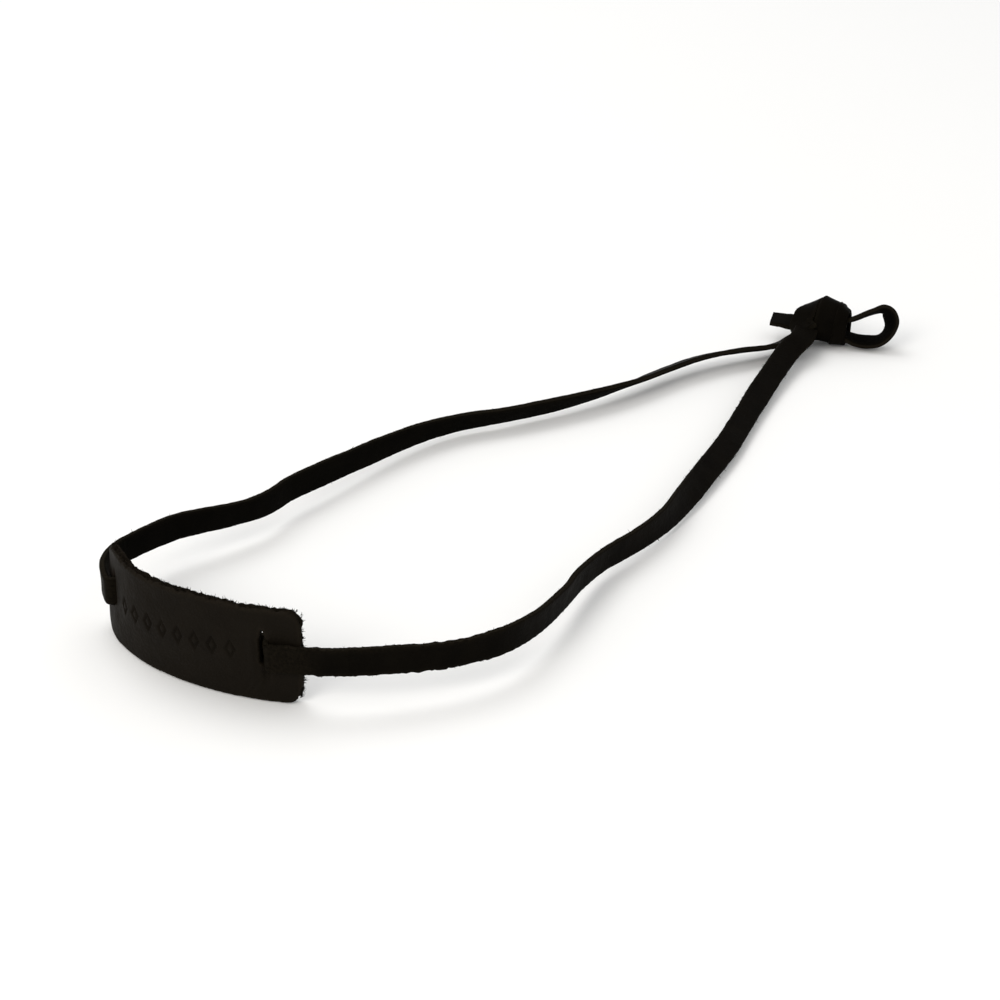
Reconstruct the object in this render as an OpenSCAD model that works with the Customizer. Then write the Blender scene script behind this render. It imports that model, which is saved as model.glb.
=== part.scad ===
/* [Lace] */
// Width of the flat leather lace
lace_w = 6; // [5:0.5:7]
// Thickness of the lace
lace_t = 1.3; // [1:0.1:1.8]

/* [Tab] */
// Length of the tab along its curve
tab_len = 53; // [50:1:55]
// Height of the tab, standing on its long edge
tab_h = 20.5; // [18:0.5:24]
// Thickness of the tab's leather
tab_t = 2; // [1.5:0.1:2.5]
// Radius of the tab's four rounded corners
corner_r = 3; // [1:0.5:4]

/* [Slots in the tab] */
// Distance from the right end of the tab to the middle of its slot
right_inset = 7; // [6:0.5:9]
// Distance from the left end of the tab to the middle of its slot
left_inset = 5; // [4.5:0.5:9]
// Width of a slot along the tab
slot_w = 3.8; // [3.6:0.1:4.5]
// Height of a slot
slot_h = 10.5; // [8.5:0.5:11]
// Height of the slots' middle above the tab's lower edge
slot_mid = 10.7; // [10:0.1:11]

/* [Slipped knot] */
// Compass direction of the knot's axis, from the tail to the bow, in degrees
knot_heading = -63; // [-70:1:-55]
// Lean of the knot about its own axis, its far side down, in degrees
knot_lean = 15; // [0:1:20]
// Length of the tail that stands out of the wraps
tail_out = 6; // [5:0.5:8]

/* [Hidden] */
$fn = 48;
black_leather = [0.09, 0.08, 0.07];
black_lace = [0.13, 0.12, 0.10];

// Curve of the tab's middle surface, seen from above. It starts at the right end of the tab
// and turns clockwise through three arcs, each [radius, angle]; the third is past the tab.
curve_start = [-104.8, -17.8];
curve_heading = 126;
bends = [[58, 32], [33, 36], [12, 52]];

function bend_len(i) = bends[i][0] * bends[i][1] * PI / 180;
function bend_start(i) = i == 0 ? 0 : bend_start(i - 1) + bend_len(i - 1);
function bend_heading(i) = i == 0 ? curve_heading : bend_heading(i - 1) - bends[i - 1][1];
function bend_centre(i) = let (h = bend_heading(i))
    i == 0 ? curve_start + bends[0][0] * [sin(h), -cos(h)]
           : bend_centre(i - 1) + (bends[i][0] - bends[i - 1][0]) * [sin(h), -cos(h)];
function bend_at(s) = s < bend_start(1) ? 0 : s < bend_start(2) ? 1 : 2;
function heading(s) = let (i = bend_at(s)) bend_heading(i) - (s - bend_start(i)) / bends[i][0] * 180 / PI;
// The point at distance s along the curve, moved outwards, away from the loop, by out
function on_curve(s, out = 0) = let (i = bend_at(s), h = heading(s))
    bend_centre(i) + (bends[i][0] + out) * [-sin(h), cos(h)];

// The lace beside the tab: outside the two tongues, through the slots and behind the middle
lace_gap = 0.15;
lace_out = tab_t / 2 + lace_gap + lace_t / 2;
lace_mid = 10.6;
lace_from = -9;
lace_to = bend_start(2) + bend_len(2);
slope = 60;
slope_r = 1.6;
slope_len = 2 * (lace_out - slope_r * (1 - cos(slope))) / sin(slope);
slope_reach = slope_r * sin(slope) + slope_len / 2 * cos(slope);
right_slot = right_inset;
left_slot = tab_len - left_inset;

// Each entry is [distance along the curve, distance outwards, slope in degrees]
function level(from, to, out, steps) =
    [for (k = [0 : steps]) [from + (to - from) * k / steps, out, 0]];
function crossing(at, side) = concat(
    [for (a = [0 : 15 : slope])
        [at - slope_reach + slope_r * sin(a), side * (slope_r * (1 - cos(a)) - lace_out), side * a]],
    [for (a = [slope : -15 : 0])
        [at + slope_reach - slope_r * sin(a), side * (lace_out - slope_r * (1 - cos(a))), side * a]]);
weave = concat(
    level(lace_from, right_slot - slope_reach - 1, lace_out, 6),
    crossing(right_slot, -1),
    level(right_slot + slope_reach + 1, left_slot - slope_reach - 1, -lace_out, 20),
    crossing(left_slot, 1),
    level(left_slot + slope_reach + 1, lace_to, lace_out, 12));
function beside(w, half) = on_curve(w[0] - half * sin(w[2]), w[1] + half * cos(w[2]));

// The two long runs, from the tab to the knot: [x, y, z, roll]. A roll of 0 stands the lace
// on its edge, and more than that leans its upper edge towards the middle of the loop.
right_run = [
    [-89.5, -34, 9.9, 0], [-82, -38, 9.3, 0], [-73, -40.5, 8.8, 0], [-63, -40, 7.8, -4],
    [-51.8, -37.2, 6.8, -7], [-41, -33.5, 6, -5], [-29.9, -31.1, 5, -6], [-18, -30.5, 4.4, -1],
    [-6.9, -29.1, 4.1, 9], [5.5, -25.5, 3.6, 32], [18.3, -21.3, 3.3, 55], [31.3, -17.2, 3.1, 60],
    [43.9, -12.4, 3, 62], [58, -7, 3.2, 62], [71.3, -2.4, 3.8, 62], [84.1, 1.5, 4.8, 65],
    [91.5, 2.5, 5.8, 74], [98, 5.3, 6.4, 84]];
left_run = [
    [-89, 40.8, 9.6, 0], [-82, 39.5, 9.1, 5], [-73, 37.5, 8.1, 9], [-65, 37, 7.5, 4],
    [-56, 39, 6.9, 0], [-48, 39.5, 6.5, 0], [-37, 40, 5.8, 0], [-25, 40.5, 5, 5],
    [-13, 40, 4.5, 15], [-2, 37.5, 4.1, 25], [9, 32, 4, 34], [21, 27, 4, 36],
    [33, 23, 4.1, 46], [45, 20.5, 4, 58], [57, 19, 4, 63], [68, 16.5, 4.2, 64],
    [77, 13, 3.9, 62], [84.5, 9.5, 3.4, 63], [91, 7.5, 3, 68],
    [97, 7.5, 2.3, 80]];

// The knot's own frame: x along its axis, y away across it, z up and leaning with it
knot_at = [104.6, 4, 5.4];
wrap_clear = 0.3;
sleeve_w = lace_w + 2 * wrap_clear;
sleeve_h = 2 * lace_t + 0.6;
wrap_from = -8;
wrap_round = 2.4;
layer = lace_t / 2 + 0.1;
// Each turn of the wrapping lace: [start, width, thickness at the sides, below and above]
turns = [[-8, 6, 1.3, 2, 2.1], [-2, 6, 1.8, 2.8, 4.8], [4, 2.3, 1.5, 2.5, 3]];
// Middle line of the bow's band: [along the axis, height]
bow_line = [
    [4, -layer], [6.5, -0.8], [8.5, -2.6], [10.8, -3.6], [13.6, -3.4], [16.2, -2], [17.7, 0.7],
    [17.7, 3.1], [16.4, 4.9], [14.4, 5.3], [12, 4.4], [9.2, 2.9], [6.6, 1], [4, layer],
    [-2, layer], [-7, layer]];
tail_inner = 1;

function across(v) = [-v[1], v[0]];
function unit(v) = v / norm(v);
// Catmull-Rom curve through the points p, with its end points mirrored
function point(p, i) = i < 0 ? 2 * p[0] - p[1] : i >= len(p) ? 2 * p[len(p) - 1] - p[len(p) - 2] : p[i];
function between(a, b, c, d, t) =
    (2 * b + (c - a) * t + (2 * a - 5 * b + 4 * c - d) * t * t + (3 * b - a - 3 * c + d) * t * t * t) / 2;
function smooth(p, steps) = concat(
    [for (i = [0 : len(p) - 2], k = [0 : steps - 1])
        between(point(p, i - 1), p[i], p[i + 1], point(p, i + 2), k / steps)],
    [p[len(p) - 1]]);

// A band swept along a route of [x, y, z, roll]; side is 1 or -1 and sets which way it leans
chamfer = 0.4;
band_section = let (a = lace_w / 2, b = lace_t / 2, c = chamfer)
    [[a, b - c], [a - c, b], [c - a, b], [-a, b - c], [-a, c - b], [c - a, -b], [a - c, -b], [a, c - b]];
function ring(at, dir, roll) = let (
        up = unit([0, 0, 1] - dir * dir[2]),
        aside = cross(dir, up),
        wide = up * cos(roll) + aside * sin(roll),
        thick = aside * cos(roll) - up * sin(roll))
    [for (q = band_section) at + wide * q[0] + thick * q[1]];
module band(route, first_dir, side) {
    line = smooth(route, 2);
    last = len(line) - 1;
    xyz = [for (q = line) [q[0], q[1], q[2]]];
    rings = [for (i = [0 : last])
        ring(xyz[i], i == 0 ? first_dir : unit(xyz[min(i + 1, last)] - xyz[i - 1]), side * line[i][3])];
    n = len(band_section);
    polyhedron(
        points = [for (r = rings) for (q = r) q],
        faces = concat(
            [[for (j = [0 : n - 1]) j]],
            [for (i = [0 : last - 1], j = [0 : n - 1])
                [i * n + j, (i + 1) * n + j, (i + 1) * n + (j + 1) % n]],
            [for (i = [0 : last - 1], j = [0 : n - 1])
                [i * n + j, (i + 1) * n + (j + 1) % n, i * n + (j + 1) % n]],
            [[for (j = [n - 1 : -1 : 0]) last * n + j]]),
        convexity = 6);
}

module along_tab(s) {
    translate(concat(on_curve(s), 0)) rotate([0, 0, heading(s)]) children();
}

module tab_slot() {
    rotate([90, 0, 0]) linear_extrude(3 * tab_t, center = true) {
        square([slot_w, slot_h - slot_w], center = true);
        for (end = [-1, 1]) translate([0, end * (slot_h - slot_w) / 2]) circle(d = slot_w);
    }
}

// What a rounded corner takes away, at an end that faces -x
module corner_cut() {
    rotate([90, 0, 0]) linear_extrude(3 * tab_t, center = true) difference() {
        translate([-1, -1]) square(corner_r + 1);
        translate([corner_r, corner_r]) circle(corner_r);
    }
}

module tab() {
    steps = 40;
    color(black_leather) difference() {
        linear_extrude(tab_h) polygon(concat(
            [for (k = [0 : steps]) on_curve(tab_len * k / steps, tab_t / 2)],
            [for (k = [steps : -1 : 0]) on_curve(tab_len * k / steps, -tab_t / 2)]));
        for (s = [right_slot, left_slot]) along_tab(s) translate([0, 0, slot_mid]) tab_slot();
        for (end = [0, 1]) along_tab(end * tab_len) mirror([end, 0, 0]) {
            corner_cut();
            translate([0, 0, tab_h]) mirror([0, 0, 1]) corner_cut();
        }
    }
}

module lace_through_tab() {
    color(black_lace) translate([0, 0, lace_mid - lace_w / 2]) linear_extrude(lace_w) polygon(concat(
        [for (w = weave) beside(w, lace_t / 2)],
        [for (k = [len(weave) - 1 : -1 : 0]) beside(weave[k], -lace_t / 2)]));
}

function start_of(s) = concat(on_curve(s, lace_out), lace_mid, 0);
function facing(angle) = [cos(angle), sin(angle), 0];

module lace_right_run() {
    color(black_lace) band(concat([start_of(lace_from)], right_run), facing(heading(lace_from) + 180), -1);
}

module lace_left_run() {
    color(black_lace) band(concat([start_of(lace_to)], left_run), facing(heading(lace_to)), 1);
}

module in_knot() {
    translate(knot_at) rotate([0, 0, knot_heading]) rotate([-knot_lean, 0, 0]) children();
}

module rounded(w, h, r) {
    square([w - 2 * r, h], center = true);
    square([w, h - 2 * r], center = true);
    for (x = [-1, 1], y = [-1, 1]) translate([x * (w / 2 - r), y * (h / 2 - r)]) circle(r);
}

module knot_wraps() {
    color(black_lace) in_knot() for (t = turns)
        translate([t[0], 0, 0]) rotate([90, 0, 90]) linear_extrude(t[1]) difference() {
            translate([0, (t[4] - t[3]) / 2])
                rounded(sleeve_w + 2 * t[2], sleeve_h + t[3] + t[4], wrap_round);
            square([sleeve_w, sleeve_h], center = true);
        }
}

// A flat band whose edge is seen in the knot's x-z plane
module edgewise(line) {
    last = len(line) - 1;
    normals = [for (i = [0 : last]) across(unit(line[min(i + 1, last)] - line[max(i - 1, 0)]))];
    rotate([90, 0, 0]) linear_extrude(lace_w, center = true) polygon(concat(
        [for (i = [0 : last]) line[i] + normals[i] * lace_t / 2],
        [for (i = [last : -1 : 0]) line[i] - normals[i] * lace_t / 2]));
}

module bow_loop() {
    color(black_lace) in_knot() edgewise(smooth(bow_line, 4));
}

module knot_tail() {
    color(black_lace) in_knot() edgewise([[wrap_from - tail_out, -layer], [tail_inner, -layer]]);
}

tab();
lace_through_tab();
lace_right_run();
lace_left_run();
knot_wraps();
bow_loop();
knot_tail();
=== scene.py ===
import math

import bmesh
import bpy
import numpy as np
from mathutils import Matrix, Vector


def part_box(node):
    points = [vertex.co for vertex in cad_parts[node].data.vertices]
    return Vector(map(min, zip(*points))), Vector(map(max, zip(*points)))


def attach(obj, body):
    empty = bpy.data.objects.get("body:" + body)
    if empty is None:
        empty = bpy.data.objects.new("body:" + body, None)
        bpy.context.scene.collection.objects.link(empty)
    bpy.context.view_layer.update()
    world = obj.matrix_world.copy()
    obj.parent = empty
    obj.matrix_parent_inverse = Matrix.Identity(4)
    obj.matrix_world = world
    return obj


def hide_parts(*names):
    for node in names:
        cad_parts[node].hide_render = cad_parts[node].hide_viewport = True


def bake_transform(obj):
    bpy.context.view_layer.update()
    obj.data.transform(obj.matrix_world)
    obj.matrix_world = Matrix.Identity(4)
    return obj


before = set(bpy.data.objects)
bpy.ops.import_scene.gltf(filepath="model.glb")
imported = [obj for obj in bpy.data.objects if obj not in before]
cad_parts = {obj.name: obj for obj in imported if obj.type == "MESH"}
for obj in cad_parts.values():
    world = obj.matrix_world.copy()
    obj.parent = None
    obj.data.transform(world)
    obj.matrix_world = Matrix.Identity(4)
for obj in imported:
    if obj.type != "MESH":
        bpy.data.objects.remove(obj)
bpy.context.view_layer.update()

# A strap for eyeglasses: a flat leather lace in one loop, threaded through a slotted tab and tied
# in a slipped knot. Lengths are in millimetres until new_piece() turns a finished mesh into metres.
MM = 0.001


def box_mm(node):
    low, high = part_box(node)
    return np.array(low) / MM, np.array(high) / MM


TAB_H = box_mm("tab")[1][2] - box_mm("tab")[0][2]
LACE_LOW, LACE_HIGH = box_mm("lace_through_tab")
LACE_W = LACE_HIGH[2] - LACE_LOW[2]
LACE_MID = (LACE_HIGH[2] + LACE_LOW[2]) / 2
LACE_T = 1.3

# The tab's curve from above: it starts at the tab's right end and turns clockwise, [radius, angle]
CURVE_START = np.array([-104.8, -17.8])
CURVE_HEADING = 126
BENDS = [[58, 32], [33, 36], [12, 52]]
TAB_LEN, TAB_T, CORNER_R = 53, 2, 3
# The slots: how far each is from its end of the tab, their width, the height of their middle, and
# how far their sides reach below and above it
RIGHT_INSET, LEFT_INSET = 7, 5
SLOTS = [RIGHT_INSET, TAB_LEN - LEFT_INSET]
SLOT_W, SLOT_MID, SLOT_SIDE = 2.4, 10.7, 2.6
SLOT_STEPS, SLOT_ROWS = 20, 32

# The row of pressed lozenges: how many, where the first is, how far apart, their height on the tab,
# half their length and height, and how deep they are pressed
LOZENGES, FIRST_LOZENGE, LOZENGE_STEP, LOZENGE_MID = 8, 14, 3.9, 10.9
LOZENGE_HALF, LOZENGE_DEPTH = [1.15, 2.1], 0.45

# The lace beside the tab: how far outside the tab's middle, from where to where along the curve,
# and how steeply and in what radius it bends through a slot
LACE_OUT = TAB_T / 2 + 0.15 + LACE_T / 2
LACE_FROM = -9
LACE_TO = sum(radius * math.radians(turn) for radius, turn in BENDS)
SLOPE, SLOPE_R = 78, 1.2
# The lace is paler beside the tab, as if it were rubbed: this sets in and fades out over these lengths
RUBBED = [[-5, 1], [60, 70]]
# How far the end of each long run reaches into the stretch beside the tab, and how far apart the
# points along a run are
JOIN, RUN_PITCH = 0.5, 0.5
# The two long runs to the knot: x, y, z and roll in degrees
RIGHT_RUN = [
    [-89.5, -34, 9.9, 0], [-82, -38, 9.3, 0], [-73, -40.5, 8.8, 0], [-63, -40, 7.8, -4],
    [-51.8, -37.2, 6.8, -7], [-41, -33.5, 6, -5], [-29.9, -31.1, 5, -6], [-18, -30.5, 4.4, -1],
    [-6.9, -29.1, 4.1, 9], [5.5, -25.5, 3.6, 32], [18.3, -21.3, 3.3, 55], [31.3, -17.2, 3.1, 60],
    [43.9, -12.4, 3, 62], [58, -7, 3.2, 62], [71.3, -2.4, 3.8, 62], [84.1, 1.5, 4.8, 65],
    [91.5, 2.5, 5.8, 74], [96.5, 4.4, 6.1, 84]]
LEFT_RUN = [
    [-89, 40.8, 9.6, 0], [-82, 39.5, 9.1, 5], [-73, 37.5, 8.1, 9], [-65, 37, 7.5, 4],
    [-56, 39, 6.9, 0], [-48, 39.5, 6.5, 0], [-37, 40, 5.8, 0], [-25, 40.5, 5, 5],
    [-13, 40, 4.5, 15], [-2, 37.5, 4.1, 25], [9, 32, 4, 34], [21, 27, 4, 36],
    [33, 23, 4.1, 46], [45, 20.5, 4, 58], [57, 19, 4, 63], [68, 16.5, 4.2, 64],
    [77, 13, 3.9, 62], [84.5, 9.5, 3.4, 63], [91, 7.5, 3, 68],
    [97, 7.5, 2.5, 80], [101, 7.6, 2.2, 86]]

# The knot's own frame: x along its axis, y away across it, z up and leaning with it
KNOT_AT = np.array([104.6, 4, 5.4])
KNOT_HEADING, KNOT_LEAN = -63, 15
# The bow's band: x, z, how much further than the knot it leans, and its far edge's turn
# back towards the knot, in degrees
BOW = [
    [3, -1.7, -4, 0], [6.4, -3, -12, 0], [9, -3.7, -18, 0], [12, -3.7, -19, 2],
    [14.5, -3.2, -14, 10], [16.3, -1.6, -5, 20], [17.3, 0.6, 2, 28], [17.3, 2.8, 8, 36],
    [16.3, 4.55, 18, 32], [14.8, 5.3, 22, 14], [12.9, 4.75, 13, 3], [10.3, 3.5, 9, 0],
    [7.6, 2.1, 8, 0], [5, 1.3, 4, 0], [2, 1.1, 0, 0], [-1.5, 1.1, 0, 0]]
# Two places along the knot's axis, which bow() turns into points that nothing uses
BOW_FREE = [6, 14]
# The tail: x, z and how much further than the knot it leans, in degrees
TAIL = [[-14.2, -0.15, -20], [-11, -0.35, -24], [-8, -0.6, -28], [-4, -0.95, -8], [-0.6, -1, -4]]

CAMERA_AZIMUTH, CAMERA_ELEVATION, CAMERA_DISTANCE = -48, 28.5, 457
CAMERA_TARGET = [-19, 9, 0]


def radians(degrees):
    return np.radians(np.asarray(degrees, float))


def unit(v):
    v = np.asarray(v, float)
    return v / np.linalg.norm(v, axis=-1, keepdims=True)


def noise(points, size, seed):
    """Smooth noise from -1 to 1 that changes over about size."""
    q = np.asarray(points, float) / size + 13.7 * (seed + 1)
    cell = np.floor(q).astype(np.int64)
    f = q - cell
    f = f * f * (3 - 2 * f)
    total = np.zeros(len(q))
    for corner in np.ndindex(2, 2, 2):
        x, y, z = (cell + corner).T
        h = (x * 73856093) ^ (y * 19349663) ^ (z * 83492791) ^ (seed * 2654435761)
        h = (h ^ (h >> 13)) * 1274126177 & 0xFFFFFFFF
        h = (h ^ (h >> 16)) * 2246822519 & 0xFFFFFFFF
        total += np.prod(np.where(corner, f, 1 - f), axis=1) * (h / 0x7FFFFFFF - 1)
    return total


def smooth_step(x, low, high):
    t = np.clip((np.asarray(x, float) - low) / (high - low), 0, 1)
    return t * t * (3 - 2 * t)


def hill(x, middle, half):
    return np.exp(-(((np.asarray(x, float) - middle) / half) ** 2))


def smooth_line(rows, pitch, before=None, after=None):
    """Catmull-Rom curve through rows, whose first three numbers are a place, at about that pitch."""
    rows = np.array(rows, float)
    first = 2 * rows[0] - rows[1] if before is None else np.array(before, float)
    last = 2 * rows[-1] - rows[-2] if after is None else np.array(after, float)
    p = np.vstack([first, rows, last])
    made = []
    for a, b, c, d in zip(p, p[1:], p[2:], p[3:]):
        steps = max(1, round(np.linalg.norm((c - b)[:3]) / pitch))
        t = np.arange(steps)[:, None] / steps
        made.append((2 * b + (c - a) * t + (2 * a - 5 * b + 4 * c - d) * t**2
                     + (3 * b - a - 3 * c + d) * t**3) / 2)
    return np.vstack(made + [rows[-1:]])


def tab_curve(s, out=0.0):
    """Points at distances s along the tab's curve, moved outwards by out, and the headings there."""
    s, out = np.broadcast_arrays(np.asarray(s, float), np.asarray(out, float))
    heading, start = radians(CURVE_HEADING), 0.0
    centre = CURVE_START + BENDS[0][0] * np.array([math.sin(heading), -math.cos(heading)])
    xy, headings = np.zeros(s.shape + (2,)), np.zeros(s.shape)
    for i, (radius, turn) in enumerate(BENDS):
        h = heading - (s - start) / radius
        here = (s >= start) | (i == 0)
        at = centre + (radius + out)[..., None] * np.stack([-np.sin(h), np.cos(h)], -1)
        xy[here], headings[here] = at[here], h[here]
        start += radius * radians(turn)
        heading -= radians(turn)
        if i + 1 < len(BENDS):
            centre = centre + (BENDS[i + 1][0] - radius) * np.array([np.sin(heading), -np.cos(heading)])
    return xy, headings


def knot_axes():
    h, lean = radians(KNOT_HEADING), radians(KNOT_LEAN)
    across = np.array([-np.sin(h), np.cos(h), 0])
    up = np.array([0, 0, 1])
    return np.array([[np.cos(h), np.sin(h), 0],
                     across * np.cos(lean) - up * np.sin(lean),
                     across * np.sin(lean) + up * np.cos(lean)])


def from_knot(points):
    return KNOT_AT + np.asarray(points, float) @ knot_axes()


# ---- materials ----

def node(tree, kind, **values):
    made = tree.nodes.new("ShaderNode" + kind)
    for name, value in values.items():
        if hasattr(made, name):
            setattr(made, name, value)
        else:
            made.inputs[name.replace("_", " ")].default_value = value
    return made


def mixed(tree, factor, a, b):
    """A colour between a and b; each is a colour or a socket."""
    mix = node(tree, "Mix", data_type="RGBA")
    tree.links.new(factor, mix.inputs[0])
    for value, socket in ((a, mix.inputs[6]), (b, mix.inputs[7])):
        if isinstance(value, bpy.types.NodeSocket):
            tree.links.new(value, socket)
        else:
            socket.default_value = (*value, 1)
    return mix.outputs[2]


def ranged(tree, value, low, high, to_low=0.0, to_high=1.0):
    span = node(tree, "MapRange", From_Min=low, From_Max=high, To_Min=to_low, To_Max=to_high)
    tree.links.new(value, span.inputs["Value"])
    return span.outputs["Result"]


def pattern(tree, place, kind, size, stretch=(1, 1, 1), **values):
    """A noise or Voronoi texture in the leather's own flat coordinates; size is in millimetres."""
    scale = node(tree, "VectorMath", operation="MULTIPLY")
    scale.inputs[1].default_value = [1 / (size * MM * k) for k in stretch]
    tree.links.new(place, scale.inputs[0])
    made = node(tree, kind, Scale=1.0, **values)
    tree.links.new(scale.outputs[0], made.inputs["Vector"])
    return made.outputs[0]


def bumped(tree, height, depth, normal=None):
    """Bump whose height from 0 to 1 stands for depth millimetres."""
    bump = node(tree, "Bump", Strength=1.0, Distance=depth * MM)
    tree.links.new(height, bump.inputs["Height"])
    if normal is not None:
        tree.links.new(normal, bump.inputs["Normal"])
    return bump.outputs["Normal"]


def leather(name, deep, pale, worn, rough, gloss, grain, fibres):
    """Leather from its own flat coordinates. grain is [size, depth] of its pebbles, and fibres
    [length, width, depth] of its strands, in millimetres; worn is its colour on rubbed edges."""
    material = bpy.data.materials.new(name)
    material.use_nodes = True
    tree = material.node_tree
    shader = tree.nodes["Principled BSDF"]
    place = node(tree, "Attribute", attribute_name="leather_place").outputs["Vector"]
    wear = node(tree, "Attribute", attribute_name="wear").outputs["Fac"]

    clouds = pattern(tree, place, "TexNoise", 7, Detail=5.0, Roughness=0.6)
    specks = pattern(tree, place, "TexNoise", 0.5, Detail=3.0, Roughness=0.7)
    base = mixed(tree, ranged(tree, clouds, 0.35, 0.7), deep, pale)
    base = mixed(tree, ranged(tree, specks, 0.62, 0.8, 0, 0.5), base, worn)
    rubbed = node(tree, "Math", operation="MULTIPLY")
    tree.links.new(ranged(tree, specks, 0.3, 0.65), rubbed.inputs[0])
    tree.links.new(wear, rubbed.inputs[1])
    tree.links.new(mixed(tree, rubbed.outputs[0], base, worn), shader.inputs["Base Color"])

    strands = pattern(tree, place, "TexNoise", fibres[1], (fibres[0] / fibres[1], 1, 1),
                      Detail=4.0, Roughness=0.65)
    pebbles = pattern(tree, place, "TexVoronoi", grain[0], feature="SMOOTH_F1", Smoothness=0.6)
    waves = pattern(tree, place, "TexNoise", 2.5, (1, 2.2, 1), Detail=3.0)
    normal = bumped(tree, waves, 0.12)
    normal = bumped(tree, ranged(tree, pebbles, 0, 0.75), grain[1], normal)
    normal = bumped(tree, strands, fibres[2], normal)
    tree.links.new(normal, shader.inputs["Normal"])
    tree.links.new(ranged(tree, strands, 0.3, 0.7, rough - 0.07, rough + 0.07), shader.inputs["Roughness"])
    shader.inputs["Specular IOR Level"].default_value = gloss
    return material


GRAIN, FLESH, CUT = 0, 1, 2


def tab_leather():
    return [
        leather("tab_grain", (0.0059, 0.0045, 0.0029), (0.0078, 0.006, 0.0039), (0.012, 0.009, 0.0057),
                0.6, 0.03, [0.55, 0.05], [3, 0.25, 0.015]),
        leather("tab_flesh", (0.0055, 0.0044, 0.0031), (0.008, 0.0062, 0.0044), (0.012, 0.0092, 0.006),
                0.9, 0.03, [0.7, 0.04], [1.6, 0.16, 0.12]),
        leather("tab_cut", (0.005, 0.0038, 0.0025), (0.0085, 0.0065, 0.0042), (0.014, 0.0105, 0.0068),
                0.9, 0.03, [0.5, 0.1], [1.2, 0.14, 0.16])]


def lace_leather():
    return [
        leather("lace_grain", (0.0023, 0.0018, 0.0012), (0.0039, 0.0031, 0.002), (0.0075, 0.0058, 0.0036),
                0.55, 0.012, [0.45, 0.04], [4, 0.22, 0.02]),
        leather("lace_flesh", (0.0016, 0.0014, 0.0009), (0.0028, 0.0023, 0.0015), (0.006, 0.0048, 0.003),
                0.9, 0.02, [0.6, 0.03], [2.2, 0.15, 0.12]),
        leather("lace_cut", (0.004, 0.0032, 0.002), (0.0075, 0.006, 0.0038), (0.013, 0.0102, 0.0065),
                0.88, 0.03, [0.45, 0.06], [1.6, 0.13, 0.13])]


def floor_material():
    material = bpy.data.materials.new("pale_floor")
    material.use_nodes = True
    tree = material.node_tree
    shader = tree.nodes["Principled BSDF"]
    where = node(tree, "TexCoord").outputs["Object"]
    clouds = node(tree, "TexNoise", Scale=3.0, Detail=2.0)
    tree.links.new(where, clouds.inputs["Vector"])
    tone = mixed(tree, clouds.outputs[0], (0.9, 0.9, 0.89), (0.93, 0.93, 0.925))
    tree.links.new(tone, shader.inputs["Base Color"])
    shader.inputs["Roughness"].default_value = 0.9
    shader.inputs["Specular IOR Level"].default_value = 0.1
    return material


# ---- meshes ----

class Shape:
    """Vertices, faces and each vertex's place in the flat leather, gathered before one mesh is made."""

    def __init__(self):
        self.points, self.places, self.wear = [], [], []
        self.faces, self.kinds = [], []
        self.count = 0

    def add(self, points, places, wear, faces, kinds):
        self.faces += [[v + self.count for v in face] for face in faces]
        self.kinds += list(kinds)
        self.points.append(np.asarray(points, float))
        self.places.append(np.asarray(places, float))
        self.wear.append(np.broadcast_to(np.asarray(wear, float), (len(points),)))
        self.count += len(points)


def new_piece(name, shape, materials):
    points = np.vstack(shape.points) * MM
    mesh = bpy.data.meshes.new(name)
    mesh.from_pydata(points.tolist(), [], shape.faces)
    for material in materials:
        mesh.materials.append(material)
    mesh.polygons.foreach_set("material_index", shape.kinds)
    work = bmesh.new()
    work.from_mesh(mesh)
    bmesh.ops.recalc_face_normals(work, faces=work.faces)
    work.to_mesh(mesh)
    work.free()
    mesh.polygons.foreach_set("use_smooth", [len(face.vertices) <= 4 for face in mesh.polygons])
    place = mesh.attributes.new("leather_place", "FLOAT_VECTOR", "POINT")
    place.data.foreach_set("vector", (np.vstack(shape.places) * MM).astype(np.float32).ravel())
    wear = mesh.attributes.new("wear", "FLOAT", "POINT")
    wear.data.foreach_set("value", np.concatenate(shape.wear).astype(np.float32))
    mesh.update()
    piece = bpy.data.objects.new(name, mesh)
    bpy.context.scene.collection.objects.link(piece)
    return piece


def add_fibres(shape, roots, ways, lengths, places, rng, width):
    """Short tapering strands that stand out of a cut edge, each bent a little to one side."""
    rings, sides = 3, 3
    for root, way, length, place in zip(roots, ways, lengths, places):
        bend = rng.normal(0, 0.45, 3)
        aside = unit(np.cross(way, rng.normal(0, 1, 3)))
        other = np.cross(way, aside)
        points = []
        for k in range(rings):
            t = k / rings
            middle = root + way * (t * length - 0.15) + bend * length * t * t * 0.5
            radius = width * (1 - 0.6 * t)
            for j in range(sides):
                turn = 2 * math.pi * j / sides
                points.append(middle + (aside * math.cos(turn) + other * math.sin(turn)) * radius)
        points.append(root + way * (length - 0.15) + bend * length * 0.5)
        faces = [[0, 2, 1]]
        for k in range(rings - 1):
            for j in range(sides):
                a, b = k * sides + j, k * sides + (j + 1) % sides
                faces.append([a, b, b + sides, a + sides])
        top = (rings - 1) * sides
        faces += [[top + j, top + (j + 1) % sides, rings * sides] for j in range(sides)]
        points = np.array(points)
        shape.add(points, place + points - root, 0.6, faces, [CUT] * len(faces))


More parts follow.
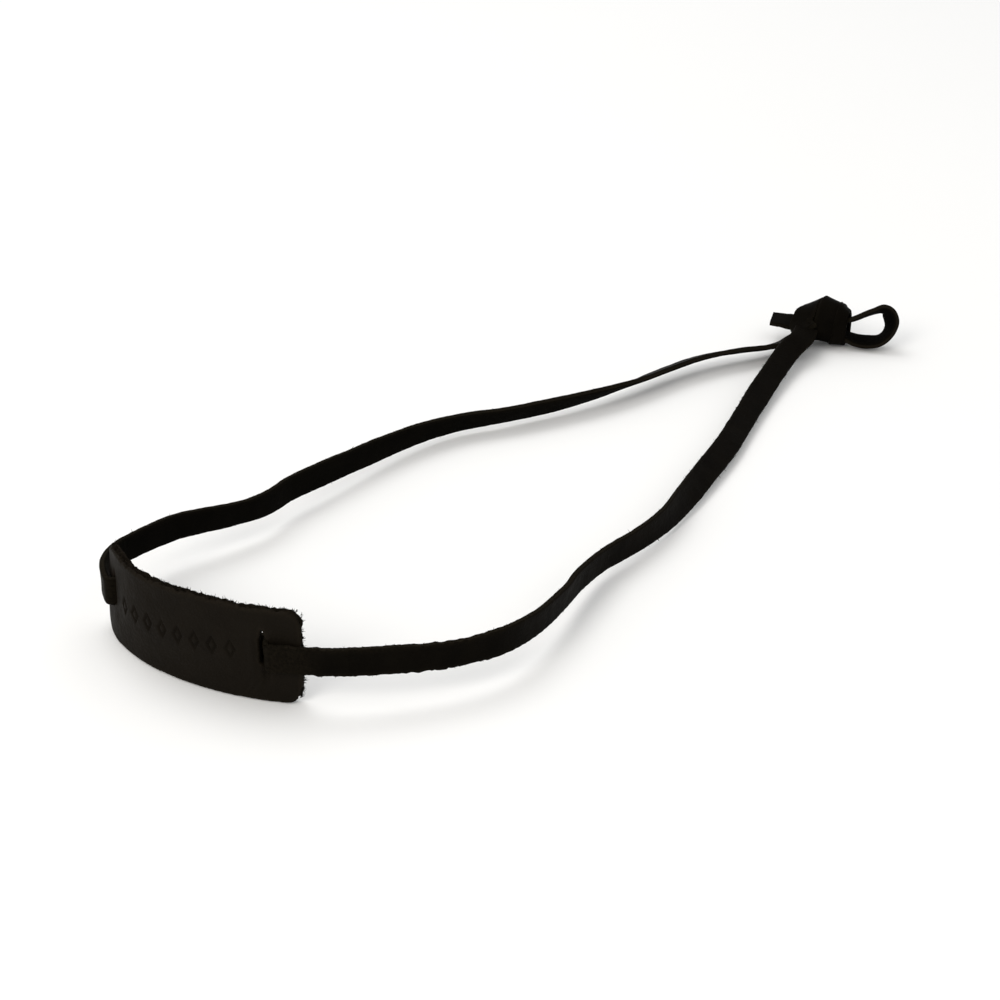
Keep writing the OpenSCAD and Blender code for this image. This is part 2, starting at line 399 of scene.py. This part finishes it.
def band_section():
    """Outline of a lace across its width: points [across, through] and the kind of each side."""
    half_w, half_t = LACE_W / 2, LACE_T / 2
    corner, face_points = 0.4, 9
    outline, kinds = [], []
    flat = np.linspace(half_w - corner, corner - half_w, face_points)
    arc = radians([22, 45, 68])
    side = np.linspace(half_t - corner, corner - half_t, 4)
    for sign in (1, -1):
        outline += [[sign * (half_w - corner + corner * math.cos(a)),
                     sign * (half_t - corner + corner * math.sin(a))] for a in arc]
        outline += [[sign * a, sign * half_t] for a in flat]
        outline += [[-sign * (half_w - corner + corner * math.sin(a)),
                     sign * (half_t - corner + corner * math.cos(a))] for a in arc]
        outline += [[-sign * half_w, sign * b] for b in side]
        face = GRAIN if sign > 0 else FLESH
        kinds += [face] * (len(arc) + len(flat) + len(arc) - 1) + [CUT] * (len(side) + 1)
    return np.array(outline), kinds


def band(name, centres, wides, materials, grain, ragged, start, sense=1, squeeze=None):
    """A flat lace along centres with its width along wides. grain is 1 where the grain face is on
    the side of tangent x wide, else -1. ragged is how rough the cut edges are, one value or one per
    ring. start and sense say where it lies along the whole lace, so that stretches that meet match."""
    count = len(centres)
    tangents = unit(np.gradient(centres, axis=0))
    wides = unit(wides - tangents * np.sum(wides * tangents, axis=1, keepdims=True))
    normals = np.cross(tangents, wides) * grain
    walked = np.concatenate([[0], np.cumsum(np.linalg.norm(np.diff(centres, axis=0), axis=1))])
    length = start + sense * walked
    ragged = np.broadcast_to(np.asarray(ragged, float), (count,))
    squeeze = np.ones(count) if squeeze is None else squeeze
    outline, kinds = band_section()
    n = len(outline)
    across = np.tile(outline[:, 0], (count, 1)) * squeeze[:, None]
    depth = np.tile(outline[:, 1], (count, 1))
    flat = np.stack([np.repeat(length[:, None], n, 1), across, depth], -1).reshape(-1, 3)

    rough = np.repeat(ragged, n)
    near_edge = smooth_step(np.abs(flat[:, 1]), LACE_W / 2 - 0.9, LACE_W / 2)
    fray = (noise(flat, 0.55, 1) * 0.16 + noise(flat, 1.4, 2) * 0.14) * rough * near_edge
    swell = noise(flat * [1, 0, 0], 9, 3) * 0.12 + noise(flat * [1, 0, 0], 3.5, 4) * 0.05
    across = across + (np.sign(flat[:, 1]) * (fray + swell * near_edge)).reshape(count, n)
    dents = noise(flat * [1, 1, 0.2], 4, 5) * 0.07 + noise(flat * [1, 1, 0.2], 1.3, 6) * 0.025
    cupped = 0.1 * (2 * flat[:, 1] / LACE_W) ** 2 - 0.1
    nap = noise(flat, 0.4, 7) * 0.05 * near_edge * (0.3 + rough) * np.sign(flat[:, 2])
    depth = depth + (dents + cupped + nap).reshape(count, n)
    points = centres[:, None] + wides[:, None] * across[..., None] + normals[:, None] * depth[..., None]

    faces = [[i * n + j, i * n + (j + 1) % n, (i + 1) * n + (j + 1) % n, (i + 1) * n + j]
             for i in range(count - 1) for j in range(n)]
    faces += [list(range(n)), list(range((count - 1) * n, count * n))[::-1]]
    rubbed = smooth_step(flat[:, 0], *RUBBED[0]) * (1 - smooth_step(flat[:, 0], *RUBBED[1]))
    wear = np.maximum(near_edge * (0.5 + 0.5 * rough.clip(0, 1)), rubbed)
    shape = Shape()
    shape.add(points.reshape(-1, 3), flat, wear, faces, kinds * (count - 1) + [CUT, CUT])

    rng = np.random.default_rng(7 + abs(int(start)))
    rings = rng.integers(1, count - 1, int(walked[-1]) * 3)
    rings = rings[rng.random(len(rings)) < ragged[rings] * 0.5]
    sides = np.where(rng.random(len(rings)) < 0.7, 1, -1)
    deep = rng.uniform(-0.35, 0.35, len(rings)) * LACE_T
    reach = sides * LACE_W / 2 * squeeze[rings]
    roots = centres[rings] + wides[rings] * reach[:, None] + normals[rings] * deep[:, None]
    ways = unit(wides[rings] * sides[:, None] + rng.normal(0, 0.6, (len(rings), 3)))
    places = np.stack([length[rings], reach, deep], -1)
    add_fibres(shape, roots, ways, rng.uniform(0.3, 0.75, len(rings)), places, rng, 0.07)
    return new_piece(name, shape, materials)


def rolled(line, lean):
    """Width directions of a run's line of x, y, z and roll; lean is 1 or -1, the side it leans to."""
    tangents = unit(np.gradient(line[:, :3], axis=0))
    up = unit(np.array([0, 0, 1]) - tangents * tangents[:, 2:])
    aside = np.cross(tangents, up)
    roll = radians(lean * line[:, 3])[:, None]
    return up * np.cos(roll) + aside * np.sin(roll)


# ---- the pieces ----

def camera():
    data = bpy.data.cameras.new("camera")
    data.sensor_width, data.lens = 36, 72
    data.clip_start, data.clip_end = 0.02, 20
    made = bpy.data.objects.new("camera", data)
    a, e = radians(CAMERA_AZIMUTH), radians(CAMERA_ELEVATION)
    back = Vector((math.sin(a) * math.cos(e), -math.cos(a) * math.cos(e), math.sin(e)))
    made.location = Vector(CAMERA_TARGET) * MM + back * CAMERA_DISTANCE * MM
    made.rotation_mode = "QUATERNION"
    made.rotation_quaternion = (-back).to_track_quat("-Z", "Y")
    bpy.context.scene.collection.objects.link(made)
    bpy.context.scene.camera = made


def run(name, s, length_there, rows, along, lean, materials, ragged, node_name):
    """One long run of the lace, from beside the tab at s to the knot. length_there is how far along the
    whole lace it starts."""
    xy, heading = tab_curve(s - along * JOIN, LACE_OUT)
    start = np.array([*xy, LACE_MID, 0])
    way = along * np.array([np.cos(heading), np.sin(heading), 0, 0])
    before = rows[0] - 2 * np.linalg.norm((rows[0] - start)[:3]) * way
    line = smooth_line([start] + rows, RUN_PITCH, before=before)
    rough = ragged(np.linspace(0, 1, len(line)))
    piece = band(name, line[:, :3], rolled(line, lean), materials, grain=-lean, ragged=rough,
                 start=length_there - along * JOIN, sense=along)
    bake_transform(piece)
    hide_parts(node_name)


def right_run(materials):
    run("lace_right", LACE_FROM, LACE_FROM, RIGHT_RUN, -1, -1, materials,
        lambda t: 0.35 + 0.75 * (1 - smooth_step(t, 0.1, 0.3)), "lace_right_run")


def left_run(materials):
    _, middle = woven_middle()
    woven = np.linalg.norm(np.diff(middle, axis=0), axis=1).sum()
    run("lace_left", LACE_TO, LACE_FROM + woven, LEFT_RUN, 1, 1, materials,
        lambda t: 0.35 + 0 * t, "lace_left_run")


def weave():
    """The lace's middle line beside and through the tab: distance along, distance outwards."""
    slope = radians(SLOPE)
    climb = 2 * (LACE_OUT - SLOPE_R * (1 - math.cos(slope))) / math.sin(slope)
    reach = SLOPE_R * math.sin(slope) + climb / 2 * math.cos(slope)
    turn = np.linspace(0, slope, 9)
    rows = [[LACE_FROM, LACE_OUT]]
    for at, side in zip(SLOTS, (-1, 1)):
        rows += [[at - reach + SLOPE_R * math.sin(a), side * (SLOPE_R * (1 - math.cos(a)) - LACE_OUT)]
                 for a in turn]
        rows += [[at + reach - SLOPE_R * math.sin(a), side * (LACE_OUT - SLOPE_R * (1 - math.cos(a)))]
                 for a in turn[::-1]]
    rows.append([LACE_TO, LACE_OUT])
    dense = [np.array(rows[:1])]
    for a, b in zip(np.array(rows), np.array(rows[1:])):
        steps = max(1, round(np.linalg.norm(b - a) / 0.4))
        dense.append(a + (b - a) * np.arange(1, steps + 1)[:, None] / steps)
    return np.vstack(dense)


def woven_middle():
    """Distances along the tab and places of the middle line of the lace beside and through the tab."""
    line = weave()
    xy, _ = tab_curve(line[:, 0], line[:, 1])
    return line[:, 0], np.column_stack([xy, np.full(len(xy), LACE_MID)])


def lace_in_tab(materials):
    at, centres = woven_middle()
    wides = np.tile([0.0, 0, 1], (len(centres), 1))
    rough = 1.1 - 0.75 * smooth_step(at, 6, 12)
    piece = band("lace_through_tab_soft", centres, wides, materials, grain=-1, ragged=rough,
                 start=LACE_FROM)
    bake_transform(piece)
    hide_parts("lace_through_tab")


def slot_reach(off):
    """How far a slot opens below and above its middle; off is from its centre line inwards."""
    v = np.clip(off / (SLOT_W / 2), -1, 1)
    below = SLOT_SIDE + 0.6 * (1 - v**4) - 0.7 * smooth_step(v, -0.2, 0.5)
    above = SLOT_SIDE + 2.9 * hill(v, 0.45, 0.45) - 0.7 * (1 - smooth_step(v, -0.9, -0.45))
    return below, above


def slot_edge(at):
    """Points all round the slot at the distance at along the tab, where the grid's points lie."""
    inwards = 1 if at < TAB_LEN / 2 else -1
    off = SLOT_W / 2 * np.cos(np.linspace(0, math.pi, SLOT_STEPS + 1))
    below, above = slot_reach(off)
    sides = [np.linspace(-below[i], above[i], SLOT_ROWS + 1) for i in (0, -1)]
    half = np.full(SLOT_ROWS + 1, SLOT_W / 2)
    s = at + inwards * np.concatenate([off, off, half, -half])
    return s, SLOT_MID + np.concatenate([-below, above, *sides])


def tab_rows_and_columns():
    """Distances along the tab, closer at its corners and slots, and how each column is split in height."""
    def spread(low, high, steps):
        return list(np.linspace(low, high, steps, endpoint=False))

    def arc(middle, radius, low, high, steps):
        angles = np.linspace(radians(low), radians(high), steps, endpoint=False)
        return [middle - radius * math.cos(a) for a in angles]

    half = SLOT_W / 2
    columns = arc(CORNER_R, CORNER_R, 0, 90, 14)
    columns += spread(CORNER_R, SLOTS[0] - half, 12)
    columns += arc(SLOTS[0], half, 0, 180, SLOT_STEPS)
    columns += spread(SLOTS[0] + half, SLOTS[1] - half, 190)
    columns += arc(SLOTS[1], half, 0, 180, SLOT_STEPS)
    columns += spread(SLOTS[1] + half, TAB_LEN - CORNER_R, 12)
    columns += arc(TAB_LEN - CORNER_R, CORNER_R, 90, 180, 14) + [TAB_LEN]
    return np.array(columns), [36, SLOT_ROWS, 32]


def tab_grid():
    """The tab's flat outline as a grid: s and z of each point, and which cells the slots take away."""
    columns, counts = tab_rows_and_columns()
    from_end = np.minimum(columns, TAB_LEN - columns).clip(0, CORNER_R)
    corner = CORNER_R - np.sqrt(np.maximum(CORNER_R**2 - (CORNER_R - from_end) ** 2, 0))
    off = np.where(columns < TAB_LEN / 2, columns - SLOTS[0], SLOTS[1] - columns)
    in_slot = np.abs(off) <= SLOT_W / 2 + 1e-6
    below, above = slot_reach(off)
    marks = [corner, SLOT_MID - below, SLOT_MID + above, TAB_H - corner]
    rows = []
    for low, high, steps in zip(marks, marks[1:], counts):
        rows.append(low + (high - low) * np.arange(steps)[:, None] / steps)
    z = np.vstack(rows + [marks[-1][None]])
    s = np.tile(columns, (len(z), 1))
    hole = np.zeros((len(z) - 1, len(columns) - 1), bool)
    hole[counts[0]:counts[0] + counts[1]] = in_slot[:-1] & in_slot[1:]
    return s, z, hole


def edge_distance(s, z):
    """How far each point of the flat tab is from its outline or from a slot, and from its rough edges."""
    half = TAB_LEN / 2 - CORNER_R, TAB_H / 2 - CORNER_R
    dx = np.abs(s - TAB_LEN / 2) - half[0]
    dz = np.abs(z - TAB_H / 2) - half[1]
    outside = np.hypot(dx.clip(0), dz.clip(0)) + np.minimum(np.maximum(dx, dz), 0)
    outline = CORNER_R - outside
    holes = np.full(s.shape, TAB_LEN)
    for at in SLOTS:
        for edge_s, edge_z in zip(*slot_edge(at)):
            holes = np.minimum(holes, np.hypot(s - edge_s, z - edge_z))
    return outline, holes


def lozenges(s, z):
    """How deep the row of small pressed lozenges is, from 0 to 1."""
    depth = np.zeros(s.shape)
    for k in range(LOZENGES):
        middle = FIRST_LOZENGE + LOZENGE_STEP * k
        r = np.abs(s - middle) / LOZENGE_HALF[0] + np.abs(z - LOZENGE_MID) / LOZENGE_HALF[1]
        depth = np.maximum(depth, hill(r, 0.8, 0.22))
    return depth


def tab_surface(s, z, through):
    """Place of points of the tab; through is 0 on the grain face and 1 on the flesh face."""
    outline, holes = edge_distance(s, z)
    edge = np.minimum(outline, holes).clip(0)
    flat = np.stack([s, z, through * TAB_T], -1).reshape(-1, 3)

    def ripple(size, seed, stretch=(1, 1, 1)):
        return noise(flat * stretch, size, seed).reshape(s.shape)

    round_off = 0.42 * (1 - np.sqrt(1 - (1 - (edge / 0.55).clip(0, 1)) ** 2))
    pressed = LOZENGE_DEPTH * lozenges(s, z)
    bulge = 0.3 * hill(z, LACE_MID, 4.2) * smooth_step(s, 10, 15) * (1 - smooth_step(s, 40, 45))
    below_slot = smooth_step(z, 0, 1.5) * (1 - smooth_step(z, 4.2, 5.6))
    fold = 0.8 * hill(s, SLOTS[0] + 0.1, 0.7) * smooth_step(z, 2, 6.5) * (1 - smooth_step(z, 7.8, 8.1))
    for reach, tilt in ((1.3, 0.75), (3.0, 0.55)):
        fold = fold + 0.16 * hill(s - SLOTS[0] - reach - tilt * (4.6 - z), 0, 0.4) * below_slot
    lip = 0.22 * hill(s, SLOTS[0] + 2.6, 0.9) * hill(z, SLOT_MID, 6)
    tongue = -0.35 * hill(s, 4.6, 2.6) * hill(z, SLOT_MID + 1, 7)
    dents = ripple(6, 31, (1, 1, 0)) * 0.1 + ripple(1.8, 32, (1, 1, 0)) * 0.03
    lean = -1.0 * smooth_step(s, 36, TAB_LEN) * (z / TAB_H)
    lean = lean + 0.45 * smooth_step(s, 38, 48) * (1 - smooth_step(z, 4, 10))
    out = TAB_T / 2 - TAB_T * through + bulge + lip + tongue + dents + lean
    out = out - (pressed + fold) * (1 - 0.7 * through) - round_off * (1 - 2 * through)

    rough_edge = smooth_step(z, TAB_H - 1.4, TAB_H) + (1 - smooth_step(s, 0, 1.2)) * 0.9
    smoother_edge = 0.25 * (1 - smooth_step(outline, 0, 1.2))
    fray = (ripple(0.5, 33) * 0.3 + ripple(1.3, 34) * 0.28) * np.maximum(rough_edge, smoother_edge)
    fray = fray * (1 - smooth_step(outline, 0.1, 1.3))
    z_way = smooth_step(z, TAB_H / 2, TAB_H) - (1 - smooth_step(z, 0, TAB_H / 2))
    s_way = smooth_step(s, TAB_LEN - 3, TAB_LEN) - (1 - smooth_step(s, 0, 3))
    slant = 0.6 * (1 - smooth_step(z, 0, 9)) * (1 - smooth_step(s, 0, 10))
    xy, _ = tab_curve(s + fray * s_way + slant, out)
    crest = (0.3 * hill(s, 19, 7) - 1.2 * smooth_step(s, 45, 50)) * smooth_step(z, TAB_H - 5, TAB_H)
    place = np.concatenate([xy, (z + fray * z_way + crest)[..., None]], -1)
    wear = (1 - smooth_step(edge, 0.2, 1.0)) * 0.8
    return place, flat.reshape(s.shape + (3,)), wear


def tab_rim(shape, s, z, front, back, loop):
    """The cut edge between the two faces along one closed loop of grid points."""
    layers = 7
    loop_s, loop_z = s[loop], z[loop]
    rows, cols = loop
    count = len(rows)
    inner = []
    for k in range(1, layers):
        through = np.full(count, k / layers)
        place, flat, _ = tab_surface(loop_s, loop_z, through)
        inner.append((place, flat))
    first = shape.count
    points = np.vstack([p for p, _ in inner])
    places = np.vstack([f for _, f in inner])
    ids = [front[rows, cols]]
    ids += [np.arange(count) + first + k * count for k in range(layers - 1)]
    ids += [back[rows, cols]]
    shape.add(points, places, 0.7, [], [])
    for upper, lower in zip(ids, ids[1:]):
        for j in range(count):
            following = (j + 1) % count
            shape.faces.append([upper[j], upper[following], lower[following], lower[j]])
            shape.kinds.append(CUT)


def tab_loops(hole):
    """Grid points round the outline and round each slot."""
    last_row, last_col = hole.shape
    rows = [0] * last_col + list(range(last_row)) + [last_row] * last_col + list(range(last_row, 0, -1))
    cols = list(range(last_col)) + [last_col] * last_row + list(range(last_col, 0, -1)) + [0] * last_row
    loops = [(np.array(rows), np.array(cols))]
    low, high = np.where(hole.any(1))[0][[0, -1]] + [0, 1]
    taken = np.where(hole.any(0))[0]
    for part in np.split(taken, np.where(np.diff(taken) > 1)[0] + 1):
        left, right = part[0], part[-1] + 1
        wide, tall = right - left, high - low
        rows = [low] * wide + list(range(low, high)) + [high] * wide + list(range(high, low, -1))
        cols = list(range(left, right)) + [right] * tall + list(range(right, left, -1)) + [left] * tall
        loops.append((np.array(rows), np.array(cols)))
    return loops


def tab(materials):
    s, z, hole = tab_grid()
    shape = Shape()
    size = s.size
    grid = np.arange(size).reshape(s.shape)
    quads = [[grid[i, j], grid[i, j + 1], grid[i + 1, j + 1], grid[i + 1, j]]
             for i, j in zip(*np.where(~hole))]
    faces = []
    for through in (0.0, 1.0):
        place, flat, wear = tab_surface(s, z, np.full(s.shape, through))
        kind = GRAIN if through == 0 else FLESH
        shape.add(place.reshape(-1, 3), flat.reshape(-1, 3), wear.ravel(), quads, [kind] * len(quads))
        faces.append(grid + int(through) * size)
    for loop in tab_loops(hole):
        tab_rim(shape, s, z, faces[0], faces[1], loop)
    drop_loose(shape)
    add_tab_fibres(shape)
    piece = new_piece("tab_soft", shape, materials)
    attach(piece, "tab")
    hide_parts("tab")


def drop_loose(shape):
    """Removes the points that no face uses, which lie inside the slots."""
    used = np.unique(np.concatenate([np.array(f) for f in shape.faces]))
    new_index = np.full(shape.count, -1)
    new_index[used] = np.arange(len(used))
    shape.points = [np.vstack(shape.points)[used]]
    shape.places = [np.vstack(shape.places)[used]]
    shape.wear = [np.concatenate(shape.wear)[used]]
    shape.faces = [[int(new_index[v]) for v in face] for face in shape.faces]
    shape.count = len(used)


def add_tab_fibres(shape):
    """Frayed strands along the tab's upper edge and its right end."""
    rng = np.random.default_rng(5)
    top, end = 620, 240
    s = np.concatenate([rng.uniform(0.8, TAB_LEN - 0.8, top), np.zeros(end)])
    z = np.concatenate([np.full(top, TAB_H), rng.uniform(1, TAB_H - 0.8, end)])
    through = rng.uniform(0.1, 0.9, top + end)
    roots, places, _ = tab_surface(s, z, through)
    _, headings = tab_curve(s)
    backward = np.stack([-np.cos(headings), -np.sin(headings), np.zeros(len(s))], -1)
    corner = (1 - smooth_step(s, 0.5, 3))[:, None] * smooth_step(z, TAB_H - 3, TAB_H)[:, None]
    upward = np.array([0.0, 0, 1]) * np.ones((len(s), 1))
    ways = np.where((s > 0)[:, None], upward + backward * corner, backward + upward * corner)
    ways = unit(ways + rng.normal(0, 0.5, ways.shape))
    add_fibres(shape, roots, ways, rng.uniform(0.3, 0.85, len(s)), places, rng, 0.08)


def wrap_top(x):
    """Height of the outer surface of the wraps along the knot."""
    middle = 0.1
    half = np.where(x < middle, 5.8, 6.3)
    return 2.7 + 4.2 * np.exp(-(np.abs(x - middle) / half) ** 2.6)


def wrap_surface(x, angle):
    """Middle of the wound lace at x along the knot and at an angle round it; its ends draw in."""
    taper = 1 - 0.3 * smooth_step(x, 3, 8) - 0.3 * (1 - smooth_step(x, -9, -4))
    box = 0.8
    y = 4.15 * taper * np.sign(np.cos(angle)) * np.abs(np.cos(angle)) ** box
    top = wrap_top(x) - 0.85
    bottom = (3.8 + 0.5 * smooth_step(x, -3, 1) + 0.8 * smooth_step(x, 2, 6)) * taper
    z = np.abs(np.sin(angle)) ** box * np.where(np.sin(angle) > 0, top, -bottom)
    return np.stack([x, y, z], -1)


def wrap_line():
    """Middle line of the wrapping lace, in the knot's frame, with its width directions."""
    stations = [[0.08, -5.7], [0.25, -3.3], [0.5, -2.6], [0.75, -1.4], [1, 0.3], [1.25, 2],
                [1.5, 2.8], [1.75, 3.6], [2, 4.4], [2.25, 4.8], [2.5, 5], [2.62, 5]]
    turns = np.linspace(0.08, 2.62, 110)
    x = np.interp(turns, *np.array(stations).T)
    x = np.convolve(np.pad(x, 4, "edge"), np.ones(9) / 9, "valid")
    angle = math.pi - 2 * math.pi * turns
    outward = np.stack([0 * x, np.cos(angle), np.sin(angle)], -1)
    line = wrap_surface(x, angle) + outward * 0.12 * turns[:, None]
    wides = wrap_surface(x - 0.5, angle) - wrap_surface(x + 0.5, angle) + 0.1 * outward
    squeeze = 0.98 - 0.4 * smooth_step(turns, 1.55, 1.95)
    return line, wides, squeeze


def knot_wrap(materials, right_end):
    line, wides, squeeze = wrap_line()
    lead = [[-5.75, -5.4, -0.55], [-5.8, -4.75, 0.1]]
    axes = knot_axes()
    start = (right_end[-1] - KNOT_AT) @ axes.T
    before = (right_end[-8] - KNOT_AT) @ axes.T
    lead_line = smooth_line([start] + lead + [line[0]], 0.4, before=before, after=line[3])
    rows = np.vstack([lead_line[:-1], line])
    wides = np.vstack([np.tile(wides[0], (len(lead_line) - 1, 1)), wides])
    squeeze = np.concatenate([np.linspace(1, squeeze[0], len(lead_line) - 1), squeeze])
    centres = from_knot(rows)
    lowest = 0.85
    centres[:, 2] = lowest + 0.25 * np.logaddexp(0, (centres[:, 2] - lowest) / 0.25)
    piece = band("knot_wrap", centres, wides @ axes, materials, grain=1, ragged=0.5,
                 start=220, squeeze=squeeze)
    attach(piece, "strap")
    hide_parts("knot_wraps")


def bow(materials):
    line = smooth_line([[x, 0, z, lean, turn] for x, z, lean, turn in BOW], 0.35)
    lean, turn = radians(line[:, 3:]).T
    wides = np.stack([-np.sin(turn), np.cos(turn) * np.cos(lean), -np.cos(turn) * np.sin(lean)], -1)
    piece = band("bow_soft", from_knot(line[:, :3]), wides @ knot_axes(), materials, grain=-1,
                 ragged=0.35, start=260)
    start, end = (from_knot([x, 0, 0]) * MM for x in BOW_FREE)
    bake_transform(piece)
    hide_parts("bow_loop")


def tail(materials):
    line = smooth_line([[x, 0, z, lean] for x, z, lean in TAIL], 0.4)
    lean = radians(line[:, 3])
    wides = np.stack([0 * lean, np.cos(lean), -np.sin(lean)], -1)
    piece = band("tail_soft", from_knot(line[:, :3]), wides @ knot_axes(), materials, grain=1,
                 ragged=0.7, start=330)
    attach(piece, "tail")
    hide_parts("knot_tail")


def stage():
    bpy.ops.mesh.primitive_plane_add(size=12, location=(0, 0, -0.0001))
    floor = bpy.context.object
    floor.name = "floor"
    floor.data.materials.append(floor_material())
    world = bpy.data.worlds.new("studio")
    world.use_nodes = True
    world.node_tree.nodes["Background"].inputs["Color"].default_value = (1, 1, 1, 1)
    world.node_tree.nodes["Background"].inputs["Strength"].default_value = 0.75
    bpy.context.scene.world = world


def lamp(name, place, size, power, colour=(1, 1, 1)):
    data = bpy.data.lights.new(name, "AREA")
    data.shape, data.size, data.energy, data.color = "DISK", size, power, colour
    made = bpy.data.objects.new(name, data)
    made.location = place
    made.rotation_mode = "QUATERNION"
    made.rotation_quaternion = (-Vector(place)).to_track_quat("-Z", "Y")
    bpy.context.scene.collection.objects.link(made)


def lights():
    lamp("key", (-0.95, -0.1, 0.7), 0.6, 4.7, (1, 0.96, 0.9))
    lamp("fill", (0.3, -0.8, 1.0), 0.9, 0.35)
    lamp("top", (0.1, 0.6, 1.1), 0.8, 4.0)


camera()
lace_materials = lace_leather()
right_run(lace_materials)
left_run(lace_materials)
lace_in_tab(lace_materials)
right_line = smooth_line(RIGHT_RUN, RUN_PITCH)[:, :3]
knot_wrap(lace_materials, right_line)
bow(lace_materials)
tail(lace_materials)
tab(tab_leather())
stage()
lights()
bpy.context.scene.view_settings.view_transform = "Standard"
